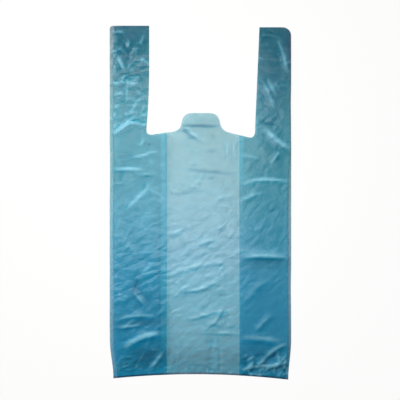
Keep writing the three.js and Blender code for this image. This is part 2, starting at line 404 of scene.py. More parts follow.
# %% The solid model's broad wrinkles
wrinkle_length = 92
wrinkle_width = 43
broad_wrinkles = [
    # share across, share up, degrees from across, length, width and height as multiples
    (-0.75, 0.7, 35, 1, 1, 1.1),
    (-0.7, 0.58, 2, 1.05, 0.95, 1),
    (-0.67, 0.5, 46, 0.9, 1, 0.9),
    (-0.63, 0.11, 24, 1.1, 1.05, 1.2),
    (0.7, 0.65, -34, 1, 1, 1.1),
    (0.66, 0.35, 2, 1.05, 1, 0.9),
    (0.71, 0.08, 34, 0.9, 0.95, 1.2),
    (0.06, 0.28, 14, 1.3, 1, 1),
    (0.1, 0.16, 38, 0.87, 1, 1),
    (-0.06, 0.48, 20, 1.1, 1.05, 0.8),
]


def hump(t):
    """A round hump between -1 and 1: the cosine of a quarter turn times t, squared."""
    return np.cos(np.pi / 2 * np.minimum(np.abs(t), 1)) ** 2


def broad_relief(x, y):
    """Each wrinkle is a hump along its length times a hump across it."""
    total = np.zeros_like(x)
    for across, up, degrees, long, wide, high in broad_wrinkles:
        turn = math.radians(degrees)
        dx = x - across * bag_width / 2
        dy = y - up * bag_length
        along = (dx * math.cos(turn) + dy * math.sin(turn)) / (wrinkle_length * long)
        beside = (dy * math.cos(turn) - dx * math.sin(turn)) / (wrinkle_width * wide)
        total += high * hump(2 * along) * hump(2 * beside)
    return total


# %% Low waves, and the puckers beside the weld
wave_height = 0.3
pucker_height = 0.6
pucker_top = 48


def wave_relief(x, y):
    """Slow waves: products and sums of sines that run slantwise over the bag."""
    first = np.sin(x / 19 + y / 47 + 1.3) * np.sin(y / 31 - x / 58)
    second = np.sin(x / 11 - y / 27) * np.sin(y / 17 + 0.7) / 3
    return wave_height * (first + second)


def pucker_relief(x, y):
    """Upright ripples: sines across the bag that rise just above the weld and fade out upwards."""
    ripple = np.sin(x / 2.9 + np.sin(y / 9)) + np.sin(x / 4.7 + 2 + np.sin(y / 14)) + np.sin(x / 1.9)
    patches = 0.55 + 0.45 * np.sin(x / 21 + 0.8)
    return pucker_height * ripple * patches * ease(y - 3, 7) * (1 - ease(y - 8, pucker_top)) / 1.6


# %% [markdown]
# ## Painted light and shade of hollows and swellings
#
# Some places are lighter or darker over a wider stretch than a crease: painted shade in a hollow beside a
# fold, painted light on a swelling where air is caught, the edge of a layer below, and broader painted light
# and shade over parts of the handles and sides. Their height is too low to see, so the light and shade they
# would get is painted into the colour.
# Each is an oval patch with soft edges, read off like the creases, and goes into a fourth lattice.

# %% Soft patches of painted light and shade
soft_patches = [
    # across, up, half length, half width, degrees from across, how much lighter
    (-82, 35, 30, 15, 20, -0.8),
    (-90, 62, 36, 6, 20, 0.15),
    (112, 450, 120, 44, 90, -0.52),
    (-110, 524, 30, 22, 0, -0.2),
    (100, 196, 42, 5, -2, 0.5),
    (102, 184, 42, 5, -2, -0.35),
    (100, 303, 40, 4, 2, 0.25),
    (22, 36, 26, 5, 86, 0.3),
    (11, 34, 24, 4, 88, -0.25),
    (36, 30, 20, 3, 95, -0.2),
    (110, 30, 34, 5, 35, 0.4),
    (-70, 24, 20, 5, 55, 0.4),
    (-118, 440, 40, 8, 80, 0.1),
    (-106, 460, 90, 40, 90, -0.2),
    (-96, 262, 90, 44, 90, -0.15),
    (4, 24, 60, 32, 0, -0.2),
    (-96, 92, 60, 36, 0, -0.3),
    (-88, 88, 42, 5, 4, -0.45),
    (-98, 148, 20, 6, 78, -0.4),
    (-86, 128, 14, 20, 80, -0.3),
    (-108, 532, 26, 10, -6, -0.35),
    (136, 512, 30, 5, 90, -1.3),
    (100, 44, 40, 16, 4, -0.25),
    (100, 176, 36, 8, 0, -0.2),
    (-92, 262, 40, 26, 30, 0.12),
    (78, 350, 14, 10, 0, 0.2),
    (-20, 110, 30, 12, 30, 0.12),
    (138, 180, 120, 3.5, 90, 0.25),
]


def add_patch(patch_light_and_shade, across, up, half_length, half_width, degrees, amount):
    """Adds amount * exp(-(along / half length) squared - (beside / half width) squared) to tones."""
    turn = math.radians(degrees)
    dx, dy = across_lattice - across, along_lattice - up
    along = (dx * math.cos(turn) + dy * math.sin(turn)) / half_length
    beside = (dy * math.cos(turn) - dx * math.sin(turn)) / half_width
    patch_light_and_shade += amount * bell(along, 1) * bell(beside, 1)


# %% Add everything up on the lattice
relief = broad_relief(across_lattice, along_lattice) + wave_relief(across_lattice, along_lattice)
relief += pucker_relief(across_lattice, along_lattice)
painted_crease_light = np.zeros_like(relief)
folds = np.zeros_like(relief)
patch_light_and_shade = np.zeros_like(relief)
for line, height, width in left_creases + left_handle_creases + middle_creases + right_creases:
    add_crease(relief, painted_crease_light, folds, line, height * crease_height, width * crease_narrowing)
for line, height, width in small_creases(small_seed):
    add_crease(relief, painted_crease_light, folds, line, height, width)
for patch in soft_patches:
    add_patch(patch_light_and_shade, *patch)
print("relief from", round(float(relief.min()), 2), "to", round(float(relief.max()), 2), "mm")

# %% [markdown]
# ## Where the layers lie
#
# The bag has two layers of film in the middle and four at the sides, where a gusset is tucked between
# the panels. Their heights follow one rule each, so that they never pass through one another: a layer is
# the one below it plus a distance that shrinks to almost nothing at the welds. The creases lift the top
# layer fully and the ones below it less and less, down to the back, which lies on the table. Towards a
# ceiling the front rises ever less, so that no crease stands higher than the solid bag.

# %% Heights of the four layers
back_share = 0.1
deepest_share = 1.2
ceiling = 9.0
ceiling_room = 1.3


def layer_pitches(y):
    """Distances between the layers: the weld's, and from there to the open ones by two soft ramps."""
    opened = ease(y - weld_width, bottom_rise) * ease(bag_length - weld_width - y, top_rise)
    in_handle = ease(y - (bag_length - mouth_depth - handle_rise), handle_rise)
    lining = weld_pitch + (lining_pitch - weld_pitch) * opened
    pocket = weld_pitch + (pocket_pitch - weld_pitch + (handle_pitch - pocket_pitch) * in_handle) * opened
    inside = weld_pitch + (inside_pitch - weld_pitch) * opened
    return lining, pocket, inside


def layer_heights(x, y):
    """Middles of the back, both gusset layers and the front at each place, from the table upwards. Past
    the ceiling, the front is the ceiling plus room * tanh(what is over it / room)."""
    lining, pocket, inside = layer_pitches(y)
    freedom = np.minimum(ease(y - 1, bottom_rise / 2), ease(bag_length - 1 - y, top_rise))
    raised = read_lattice(relief, x, bowed(x, y)) * freedom
    raised = np.maximum(raised, deepest_share * (film - lining + 0.01))
    back = film / 2 + back_share * np.maximum(raised, 0)
    gusset_back = film / 2 + lining + raised / 3
    gusset_front = film / 2 + lining + pocket + raised * 2 / 3
    stack = film / 2 + 2 * lining + pocket
    middle = film / 2 + inside
    between = np.minimum(x - left_tuck_line, right_tuck_line - x)
    sag = ease(between, stack_ease)
    swell = ease(between + stack_ease * 2, stack_ease * 2)
    front = stack + np.maximum(middle - stack, 0) * swell - np.maximum(stack - middle, 0) * sag + raised
    over = np.maximum(front - ceiling, 0)
    front = np.minimum(front, ceiling) + ceiling_room * np.tanh(over / ceiling_room)
    return back, gusset_back, gusset_front, front


BACK, GUSSET_BACK, GUSSET_FRONT, FRONT = range(4)
heights = layer_heights(across_lattice, np.clip(along_lattice, 0, bag_length))
inside_bag = (np.abs(across_lattice) < bag_width / 2) & (along_lattice > 0) & (along_lattice < bag_length)
gusseted = inside_bag & ((across_lattice < left_tuck_line) | (across_lattice > right_tuck_line))
for name, lower, upper, where in [
    ("back to gusset", BACK, GUSSET_BACK, gusseted),
    ("inside a gusset", GUSSET_BACK, GUSSET_FRONT, gusseted),
    ("gusset to front", GUSSET_FRONT, FRONT, gusseted),
    ("back to front", BACK, FRONT, inside_bag),
]:
    gap = (heights[upper] - heights[lower])[where].min() - film
    print(name, "clear gap at least", round(float(gap), 3), "mm")

# %% [markdown]
# ## Round the section
#
# Cut across, the film is one closed line: along the back, round a fold, into the gusset and out again,
# round the next fold and back along the front. This line is worked out for every row at once, as arrays
# of rows by columns, once for the outer face of the film and once for the inner face. The columns of the
# panels have a place on each tuck line, so that no straight step cuts through a tuck.

# %% How finely the film is divided
back_columns = (5, 8, 5)
front_columns = (42, 56, 39)
gusset_columns = 8
fold_columns = 4
length_rows = 262
end_crowding = 0.25
left_fold_step = 6
right_fold_step = 5.2
right_step_above = 1.6
right_step_height = 305
right_step_run = 60


def run(start, end, steps):
    """Places from start to end, row by row: start + (end - start) * i / steps."""
    t = np.linspace(0, 1, steps + 1)
    return start[:, None] + (end - start)[:, None] * t


def panel(stops, columns):
    """A panel's places from stop to stop, each stop once."""
    parts = [run(a, b, n) for a, b, n in zip(stops[:-1], stops[1:], columns)]
    return np.concatenate([parts[0]] + [part[:, 1:] for part in parts[1:]], axis=1)


def fold_arc(x, low, high, side, offset):
    """A half circle round a fold: centre plus radius * (side * cos a, sin a), the ends left out."""
    turn = np.pi * (np.arange(1, fold_columns) / fold_columns - 0.5)
    radius = ((high - low) / 2 + offset)[:, None]
    return x[:, None] + side * radius * np.cos(turn), ((low + high) / 2)[:, None] + radius * np.sin(turn)


def front_step(sign, y):
    """How far the front fold lies inside the back one: wider low down on the right."""
    if sign < 0:
        return left_fold_step + wander(y, 1.7)
    upper = ease(y - right_step_height, right_step_run)
    return right_fold_step + (right_step_above - right_fold_step) * upper + wander(y, 3.3)


# %% One side of the section, from the back fold to the front fold
def gusset_side(sign, y, offset):
    """Places and heights of a side: fold, gusset inwards, tuck, gusset outwards, fold."""
    outer = outer_edges(y)[0 if sign < 0 else 1]
    inner = np.full_like(y, left_tuck_line if sign < 0 else right_tuck_line)
    at_rim = layer_heights(outer, y)
    at_tuck = layer_heights(inner, y)
    back = outer - sign * ((at_rim[GUSSET_BACK] - at_rim[BACK]) / 2 + film / 2)
    rim_height = at_rim[FRONT] - at_rim[GUSSET_FRONT]
    front = outer - sign * front_step(sign, y) - sign * (rim_height / 2 + film / 2)
    tuck = inner + sign * (at_tuck[GUSSET_FRONT] - at_tuck[GUSSET_BACK]) / 2
    rows = y[:, None]
    at_back, at_front, at_bend = layer_heights(back, y), layer_heights(front, y), layer_heights(tuck, y)
    inwards, outwards = run(back, tuck, gusset_columns), run(tuck, front, gusset_columns)
    pieces = [
        fold_arc(back, at_back[BACK], at_back[GUSSET_BACK], sign, offset),
        (inwards, layer_heights(inwards, rows)[GUSSET_BACK] + offset),
        fold_arc(tuck, at_bend[GUSSET_BACK], at_bend[GUSSET_FRONT], -sign, -offset),
        (outwards, layer_heights(outwards, rows)[GUSSET_FRONT] - offset),
        fold_arc(front, at_front[GUSSET_FRONT], at_front[FRONT], sign, offset),
    ]
    x = np.concatenate([p[0] for p in pieces], axis=1)
    z = np.concatenate([p[1] for p in pieces], axis=1)
    return back, front, inner, x, z


def film_face(y, offset):
    """All rows of one face of the film: back panel, right side, front panel, left side reversed."""
    left_back, left_front, left_inner, left_x, left_z = gusset_side(-1, y, offset)
    right_back, right_front, right_inner, right_x, right_z = gusset_side(1, y, offset)
    rows = y[:, None]
    back_x = panel([left_back, left_inner, right_inner, right_back], back_columns)
    front_x = panel([right_front, right_inner, left_inner, left_front], front_columns[::-1])
    back_z = layer_heights(back_x, rows)[BACK] - offset
    front_z = layer_heights(front_x, rows)[FRONT] + offset
    x = np.concatenate([back_x, right_x, front_x, left_x[:, ::-1]], axis=1)
    z = np.concatenate([back_z, right_z, front_z, left_z[:, ::-1]], axis=1)
    return np.stack([x, bowed(x, rows), z], axis=-1)


# %% [markdown]
# ## From lines to a closed shell
#
# The rows are joined by four-sided faces into two tubes, one inside the other, with the inner one turned
# inside out. A face over each end of each tube seals the welds. Because the inner tube stops half a
# millimetre short, the two together are one closed wall of film, which a solid cut can work on. A
# Solidify modifier on a single sheet would also give a wall, but at the tight folds its two sides cross.

# %% Faces of a tube and of its ends
def tube_faces(rows, columns, first, outwards):
    """Four corners for each step along and around, in the order that makes the face point outwards."""
    i, j = np.meshgrid(np.arange(rows - 1), np.arange(columns), indexing="ij")
    a = first + i * columns + j
    b = first + i * columns + (j + 1) % columns
    quads = np.stack([a, b, b + columns, a + columns], -1).reshape(-1, 4)
    return quads if not outwards else quads[:, ::-1]


thin_stretch = 12


def end_faces(ring, first, forwards):
    """Three-cornered faces over an end, seen along the bag with the heights stretched. A Delaunay
    filling joins near neighbours only, so that no face spans the bow of the end."""
    traced = np.column_stack([ring[:, 0], ring[:, 2] * thin_stretch])
    outline = [list(range(len(ring)))]
    filled = delaunay_2d_cdt([Vector(place) for place in traced], [], outline, 1, 1e-6)
    own = np.array([origins[0] for origins in filled[3]])
    faces = own[np.array(filled[2])]
    corners = traced[faces]
    u, v = corners[:, 1] - corners[:, 0], corners[:, 2] - corners[:, 0]
    counterclockwise = (u[:, 0] * v[:, 1] - u[:, 1] * v[:, 0]).sum() > 0
    return first + (faces[:, ::-1] if counterclockwise == forwards else faces)


def mesh_from(name, points, face_sets):
    """Puts points and sets of equal-sided faces into a mesh with foreach_set."""
    mesh = bpy.data.meshes.new(name)
    loops = np.concatenate([faces.ravel() for faces in face_sets])
    sides = np.concatenate([np.full(len(faces), faces.shape[1]) for faces in face_sets])
    mesh.vertices.add(len(points))
    mesh.vertices.foreach_set("co", np.asarray(points, np.float32).ravel())
    mesh.loops.add(len(loops))
    mesh.loops.foreach_set("vertex_index", loops.astype(np.int32))
    mesh.polygons.add(len(sides))
    mesh.polygons.foreach_set("loop_start", (np.cumsum(sides) - sides).astype(np.int32))
    mesh.update(calc_edges=True)
    mesh.validate()
    return mesh


# %% Build the film
mm = 0.001
share = np.linspace(0, 1, length_rows)
crowded = share - end_crowding * np.sin(2 * np.pi * share) / (2 * np.pi)
open_rows = end_seal + (bag_length - 2 * end_seal) * crowded
all_rows = np.concatenate([[0], open_rows, [bag_length]])
outer_face = film_face(all_rows, film / 2)
inner_face = film_face(open_rows, -film / 2)
columns = outer_face.shape[1]
inner_first = outer_face.shape[0] * columns
face_sets = [
    tube_faces(len(all_rows), columns, 0, True),
    tube_faces(len(open_rows), columns, inner_first, False),
    end_faces(outer_face[0], 0, False),
    end_faces(outer_face[-1], inner_first - columns, True),
    end_faces(inner_face[0], inner_first, True),
    end_faces(inner_face[-1], inner_first + (len(open_rows) - 1) * columns, False),
]
points = np.concatenate([outer_face.reshape(-1, 3), inner_face.reshape(-1, 3)])
points[:, 1] -= bag_length / 2
bag_mesh = mesh_from("film_bag", points * mm, face_sets)
bag = bpy.data.objects.new("film_bag", bag_mesh)
bpy.context.scene.collection.objects.link(bag)
print(columns, "columns,", len(all_rows), "rows,", len(bag_mesh.polygons), "faces")

# %% [markdown]
# ## The die cut
#
# The mouth, the tab and the two handles come from one blow of a die through all the layers at once, so
# they are made the same way here: a tall block with the die's outline is taken away by a Boolean
# modifier. The outline is a handful of corners, each rounded by a curve that starts and ends some way
# back along its two sides.

# %% The corners of the die, in millimetres
left_handle_top = 61
left_handle_root = 56
right_handle_top = 48
right_handle_root = 56.5
handle_bulge = 105
left_mouth_dip = 8
right_mouth_dip = 13
mouth_corner = 11
tab_centre = 0.6
tab_top_width = 54
tab_foot_width = 63
tab_height = 27
tab_corner = 14
tab_flare = 12
bulge_round = 40
die_overrun = 20
die_headroom = 12
corner_steps = 9

mouth = bag_length - mouth_depth
left, right = -bag_width / 2, bag_width / 2
top = bag_length + die_overrun
die_corners = [
    (left + left_handle_top, top, 0),
    (left + left_handle_top, bag_length - handle_bulge, bulge_round),
    (left + left_handle_root, mouth - left_mouth_dip, mouth_corner),
    (tab_centre - tab_foot_width / 2, mouth, tab_flare),
    (tab_centre - tab_top_width / 2, mouth + tab_height, tab_corner),
    (tab_centre + tab_top_width / 2, mouth + tab_height, tab_corner),
    (tab_centre + tab_foot_width / 2, mouth, tab_flare),
    (right - right_handle_root, mouth - right_mouth_dip, mouth_corner),
    (right - right_handle_top, top, 0),
]


def rounded(corners):
    """Each corner becomes a curve (1-t)^2 start + 2 t (1-t) corner + t^2 end, with start and end a
    setback along its sides, but never past the middle of a side."""
    places = np.array([corner[:2] for corner in corners], float)
    outline = []
    for here, before, after, setback in zip(
        places, np.roll(places, 1, 0), np.roll(places, -1, 0), [corner[2] for corner in corners]
    ):
        if not setback:
            outline.append(here[None])
            continue
        ends = []
        for other in (before, after):
            way = other - here
            length = np.hypot(*way)
            ends.append(here + way / length * min(setback, length / 2))
        t = np.linspace(0, 1, corner_steps)[:, None]
        outline.append((1 - t) ** 2 * ends[0] + 2 * t * (1 - t) * here + t**2 * ends[1])
    return np.concatenate(outline)


# %% Cut through every layer
outline = rounded(die_corners)
count = len(outline)
low, high = -die_overrun, die_overrun + die_headroom
floor_ring = np.column_stack([outline[:, 0], outline[:, 1] - bag_length / 2, np.full(count, low)])
roof_ring = floor_ring + [0, 0, high - low]
around = np.arange(count)
sides = np.stack([around, (around + 1) % count, (around + 1) % count + count, around + count], -1)
die_mesh = mesh_from(
    "die", np.concatenate([floor_ring, roof_ring]) * mm, [sides, around[None, ::-1], around[None] + count]
)
die = bpy.data.objects.new("die", die_mesh)
bpy.context.scene.collection.objects.link(die)
cut = bag.modifiers.new("die_cut", "BOOLEAN")
cut.operation = "DIFFERENCE"
cut.solver = "MANIFOLD"
cut.object = die
cut_mesh = bpy.data.meshes.new_from_object(bag.evaluated_get(bpy.context.evaluated_depsgraph_get()))
bag.modifiers.clear()
bag.data = cut_mesh
bpy.data.objects.remove(die)
assert len(cut_mesh.polygons) < len(bag_mesh.polygons), "the die has not cut the film"
triangles = len(cut_mesh.loops) - 2 * len(cut_mesh.polygons)
print("after the cut:", len(cut_mesh.vertices), "points,", triangles, "triangles")

# %% [markdown]
# ## The finish: painted light and shade that follow the creases
#
# The near, lit side of each sharp crease gets a painted highlight, and the side beyond it and the bottom of
# each furrow get painted shade; the patches add painted light and shade over wider stretches. These follow
# the creases and patches, so they are read from the same lattices and stored on the points of the mesh as
# attributes. An attribute moves with the mesh, needs no unwrapping, and a material can read it by name. They
# are worked out after the cut, because a Boolean makes new points along its edge. A last attribute says how
# low on the bag a place is, and the colour is blended towards a deeper blue by it.

# %% Store a number on every point
# how strongly the painted light and painted shade are laid on
painted_light_strength = 0.7
folded_share = 0.8


def store(mesh, name, values):
    """A float attribute on the points, held in 0..1."""
    attribute = mesh.attributes.new(name, "FLOAT", "POINT")
    attribute.data.foreach_set("value", np.clip(values, 0, 1).astype(np.float32))


cut_points = np.empty(len(cut_mesh.vertices) * 3, np.float32)
cut_mesh.vertices.foreach_get("co", cut_points)
cut_points = cut_points.reshape(-1, 3) / mm
film_x, film_y = cut_points[:, 0], cut_points[:, 1] + bag_length / 2
painted_crease_light_here = read_lattice(painted_crease_light, film_x, film_y)
patch_light_and_shade_here = read_lattice(patch_light_and_shade, film_x, film_y)
# painted light: the near side of ridges and the lighter patches; painted shade: beyond ridges, along furrows
# and in the darker patches
store(cut_mesh, "painted_light", (np.maximum(painted_crease_light_here, 0) + np.maximum(patch_light_and_shade_here, 0)) * painted_light_strength)
store(cut_mesh, "painted_shade", -(np.minimum(painted_crease_light_here, 0) + np.minimum(patch_light_and_shade_here, 0)) * painted_light_strength)
store(cut_mesh, "lower", 1 - ease(film_y - 60, 320))
print("marks from", round(float(painted_crease_light_here.min()), 2), "to", round(float(painted_crease_light_here.max()), 2))

# %% [markdown]
# ## Strips, the weld and the grip
#
# Some places differ for other reasons. Beside each tuck line the gusset's fold shows through as a darker line
# with a paler strip next to it. The weld is film that has been melted, so it is denser. The tops of the
# handles get painted shade, a duller and darker teal, for the light that falls off towards them. The left
# handle is crumpled most and the right side least. Film that the weld has gathered, and the left side, let
# less light through. Each is a soft band: one where it lies and zero elsewhere.

# %% Bands along the bag
def band(value, start, end, soft):
    """1 between start and end, falling to 0 over the soft width on either side."""
    return ease(value - start + soft, soft) * (1 - ease(value - end, soft))


print("a band's edge:", float(band(9.0, 10, 20, 2)))

# %% Tuck lines, pale strips and welds
tuck_line_share = 0.3
top_weld_share = 0.6
pale_strip_share = 0.5
pale_middle_share = 0.6
tuck_lines = band(film_x, left_tuck_line - 11.5, left_tuck_line - 10, 1.5) * band(film_y, 70, 365, 30)
pale_strips = band(film_x, left_tuck_line - 8.5, left_tuck_line - 1, 1.2) * band(film_y, 60, 372, 20)
pale_strips += band(film_x, right_tuck_line, right_tuck_line + 5, 2) * band(film_y, 315, 365, 18)
straight_y = film_y - (bowed(film_x, film_y) - film_y)
top_weld = band(film_y, bag_length - 2.5, bag_length + 2, 2)
weld_line = band(straight_y, -2, 2.2, 1.4) + top_weld_share * top_weld
store(cut_mesh, "dense", np.maximum(tuck_lines * tuck_line_share, weld_line))
middle = band(film_x, left_tuck_line, right_tuck_line, 1) * (1 - ease(film_y - 100, 140))
store(cut_mesh, "pale", pale_strips * pale_strip_share + middle * pale_middle_share)
print("welded points:", int((weld_line > 0.5).sum()))

# %% Painted shade of the handle tops, and crumpling
crumpled_everywhere = 0.45
more_on_left_handle = 0.15
more_in_middle = 0.1
less_on_right_side = 0.2
# painted shade for the tops of the handles, rising from 395 mm up the bag towards them
store(cut_mesh, "painted_handle_shade", ease(film_y - 395, 125))
left_handle = (film_x < 0) * ease(film_y - 370, 40)
right_side = band(film_x, right_tuck_line, bag_width / 2, 4) * (1 - ease(film_y - 350, 60))
crumpled = crumpled_everywhere + more_on_left_handle * left_handle - less_on_right_side * right_side
store(cut_mesh, "crumpled", crumpled + more_in_middle * band(film_x, -50, 58, 4))
print("crumpled from", round(float(crumpled.min()), 2), "to", round(float(crumpled.max()), 2))

# %% Gathered film, and smooth shading
gathered_at_weld = 0.2
gathered_on_left = 0.1
sharp_angle = 50
left_side = band(film_x, left_fold_step - bag_width / 2, left_tuck_line, 2) * (1 - ease(film_y - 330, 60))
gathered = gathered_at_weld * (1 - ease(film_y - 10, 60)) + gathered_on_left * left_side
store(cut_mesh, "folded", read_lattice(folds, film_x, film_y) * folded_share + gathered)
cut_mesh.shade_smooth()
cut_mesh.set_sharp_from_angle(angle=math.radians(sharp_angle))
print("attributes:", [a.name for a in cut_mesh.attributes if a.data_type == "FLOAT"])

# %% [markdown]
# ## Helpers for materials
#
# A material is a small graph of nodes. Written out call by call it is hard to read, so one helper makes a
# node and sets its sockets, and takes either a plain value or another node's output for each of them.

# %% Make and join nodes
def add_node(tree, kind, sockets=None, **settings):
    """A node of a kind, with its settings, and its sockets set to values or joined to outputs."""
    made = tree.nodes.new(kind)
    for name, value in settings.items():
        setattr(made, name, value)
    for name, value in (sockets or {}).items():
        if isinstance(value, bpy.types.NodeSocket):
            tree.links.new(value, made.inputs[name])
        else:
            made.inputs[name].default_value = value
    return made


def calculate(tree, operation, first, second):
    """One Math node on two values or outputs."""
    return add_node(tree, "ShaderNodeMath", {0: first, 1: second}, operation=operation).outputs[0]


def blend_colours(tree, factor, first, second):
    """One Mix node on two colours."""
    made = add_node(tree, "ShaderNodeMix", data_type="RGBA")
    for socket, value in ((0, factor), (6, first), (7, second)):
        if isinstance(value, bpy.types.NodeSocket):
            tree.links.new(value, made.inputs[socket])
        else:
            made.inputs[socket].default_value = value
    return made.outputs[2]


def new_group(name, inputs, outputs):
    """An empty shader group with its sockets, made with interface.new_socket."""
    group = bpy.data.node_groups.new(name, "ShaderNodeTree")
    for label, kind, value in inputs:
        socket = group.interface.new_socket(label, in_out="INPUT", socket_type=kind)
        socket.default_value = value
    for label, kind in outputs:
        group.interface.new_socket(label, in_out="OUTPUT", socket_type=kind)
    return group, group.nodes.new("NodeGroupInput"), group.nodes.new("NodeGroupOutput")


# %% [markdown]
# ## Crinkle: the finest grain of the film
#
# Below the size of the creases in the mesh, crumpled film is a patchwork of tiny flat facets. A Voronoi
# texture can give each place its distance to the edge of its cell, which is a field of small hip roofs:
# flat facets that meet in sharp ridges. Its distance to the cell's middle would make round cones instead.
# Noise bends the places first, so that no ridge is straight, and the cells are stretched and turned up to
# the right, as the creases are. The textures are flat ones, because the film is, and they take less time
# in the many layers. It is a group, because the film uses it at two sizes.

# %% The crinkle group
facet_turn = 0.55
facet_stretch = 2.0
crinkle, crinkle_in, crinkle_out = new_group(
    "film_crinkle",
    [
        ("Place", "NodeSocketVector", (0, 0, 0)),
        ("Size", "NodeSocketFloat", 100.0),
        ("Bend", "NodeSocketFloat", 0.5),
    ],
    [("Height", "NodeSocketFloat")],
)
scaled = add_node(
    crinkle, "ShaderNodeVectorMath", {0: crinkle_in.outputs["Place"], 3: crinkle_in.outputs["Size"]},
    operation="SCALE",
).outputs[0]
bending = add_node(
    crinkle, "ShaderNodeTexNoise", {"Vector": scaled, "Scale": 0.7, "Detail": 1.0}, noise_dimensions="2D"
)
bent = add_node(
    crinkle, "ShaderNodeVectorMath", {0: bending.outputs["Color"], 3: crinkle_in.outputs["Bend"]},
    operation="SCALE",
).outputs[0]
moved = add_node(crinkle, "ShaderNodeVectorMath", {0: scaled, 1: bent}, operation="ADD").outputs[0]
turned = add_node(
    crinkle,
    "ShaderNodeMapping",
    {"Vector": moved, "Rotation": (0, 0, facet_turn), "Scale": (facet_stretch, 1, 1)},
    vector_type="TEXTURE",
).outputs[0]
facets = add_node(
    crinkle, "ShaderNodeTexVoronoi", {"Vector": turned, "Scale": 1.0}, feature="DISTANCE_TO_EDGE",
    voronoi_dimensions="2D",
)
crinkle.links.new(facets.outputs["Distance"], crinkle_out.inputs["Height"])
print("group", crinkle.name, "with", len(crinkle.nodes), "nodes")

# %% [markdown]
# ## The film
#
# Film lets most light straight through, takes some out of it as colour, and throws a little back from
# both of its faces. Here that is one Principled shader whose alpha is low: each face the eye passes
# through adds a little blue, so two layers are pale and four are deep, with no colour painted in by hand.
# A Transmission material would be nearer to real film, but its many thin layers need long light paths
# and bring noise. The index of refraction is above the real one, because alpha also thins the gloss. The
# alpha rises a little where a crease folds the film double.

# %% Values of the film
# Of these colours, the third is for painted highlights, the fourth for painted shade and for dense film, and
# the sixth for painted shade at the handle tops.
film_blue = (0.0, 0.32, 0.42, 1)
deep_blue = (0.0, 0.385, 0.67, 1)
painted_highlight_blue = (0.3, 0.78, 0.97, 1)
shade_and_dense_blue = (0.0, 0.12, 0.26, 1)
pale_blue = (0.015, 0.54, 0.72, 1)
handle_shade_teal = (0.0, 0.2, 0.28, 1)
face_alpha = 0.2
fold_alpha = 0.22
film_gloss_index = 1.7
film_roughness = 0.3
coarse_crinkle = 70.0
fine_crinkle = 180.0
coarse_bend = 0.8
fine_bend = 0.6
fine_share = 0.3
crinkle_slope = 0.19
cloud_share = 0.25
handle_shade_share = 0.85
smear_share = 0.16

# %% Colour of the film
film_material = bpy.data.materials.new("blue_film")
film_material.use_nodes = True
nodes = film_material.node_tree
nodes.nodes.clear()
place = add_node(nodes, "ShaderNodeTexCoord").outputs["Object"]
clouds = add_node(
    nodes, "ShaderNodeTexNoise", {"Vector": place, "Scale": 16.0, "Detail": 2.0}, noise_dimensions="2D"
).outputs["Fac"]


def reading(name):
    """The attribute of that name, as a value."""
    return add_node(nodes, "ShaderNodeAttribute", attribute_name=name).outputs["Fac"]


cloudy = calculate(nodes, "MULTIPLY", clouds, cloud_share)
# painted shade: the handle tops are blended towards a duller, darker teal
painted_handle_shade = calculate(nodes, "MULTIPLY", reading("painted_handle_shade"), handle_shade_share)
colour = blend_colours(nodes, reading("lower"), film_blue, deep_blue)
colour = blend_colours(nodes, cloudy, colour, pale_blue)
colour = blend_colours(nodes, reading("pale"), colour, pale_blue)
colour = blend_colours(nodes, painted_handle_shade, colour, handle_shade_teal)
colour = blend_colours(nodes, reading("dense"), colour, shade_and_dense_blue)
# painted shade and painted highlight from the crease marks and the patches
colour = blend_colours(nodes, reading("painted_shade"), colour, shade_and_dense_blue)
colour = blend_colours(nodes, reading("painted_light"), colour, painted_highlight_blue)

# %% [markdown]
# A few dark specks lie in the film: bits of pigment that didn't mix, well under a millimetre across.
# They are cells of a sparse Voronoi texture whose random number is high, cut to a small disc. One larger
# speck, in the left side below the mouth, has its own place: every layer is dark within a small distance
# of it, measured flat so that the layers' heights don't count, and it lets less light through.

# %% Specks of pigment
speck_cells = 45.0
speck_radius = 0.035
speck_chance = 0.965
specks = add_node(
    nodes,
    "ShaderNodeTexVoronoi",
    {"Vector": place, "Scale": speck_cells},
    feature="F1",
    voronoi_dimensions="2D",
)
chance = add_node(nodes, "ShaderNodeSeparateColor", {"Color": specks.outputs["Color"]}).outputs[0]
small = calculate(nodes, "LESS_THAN", specks.outputs["Distance"], speck_radius)
chosen = calculate(nodes, "GREATER_THAN", chance, speck_chance)

# %% One larger speck, and the colour of them all
lone_speck = (-0.079, 0.09, 0)
lone_radius = 0.0014
lone_density = 0.5
speck_blue = (0.0, 0.04, 0.08, 1)
flattened = add_node(nodes, "ShaderNodeVectorMath", {0: place, 1: (1, 1, 0)}, operation="MULTIPLY").outputs[0]
away = add_node(nodes, "ShaderNodeVectorMath", {0: flattened, 1: lone_speck}, operation="DISTANCE")
lone = calculate(nodes, "LESS_THAN", away.outputs["Value"], lone_radius)
speckled = calculate(nodes, "MAXIMUM", calculate(nodes, "MULTIPLY", small, chosen), lone)
colour = blend_colours(nodes, speckled, colour, speck_blue)
print("lone speck", lone_radius * 2000, "mm across")

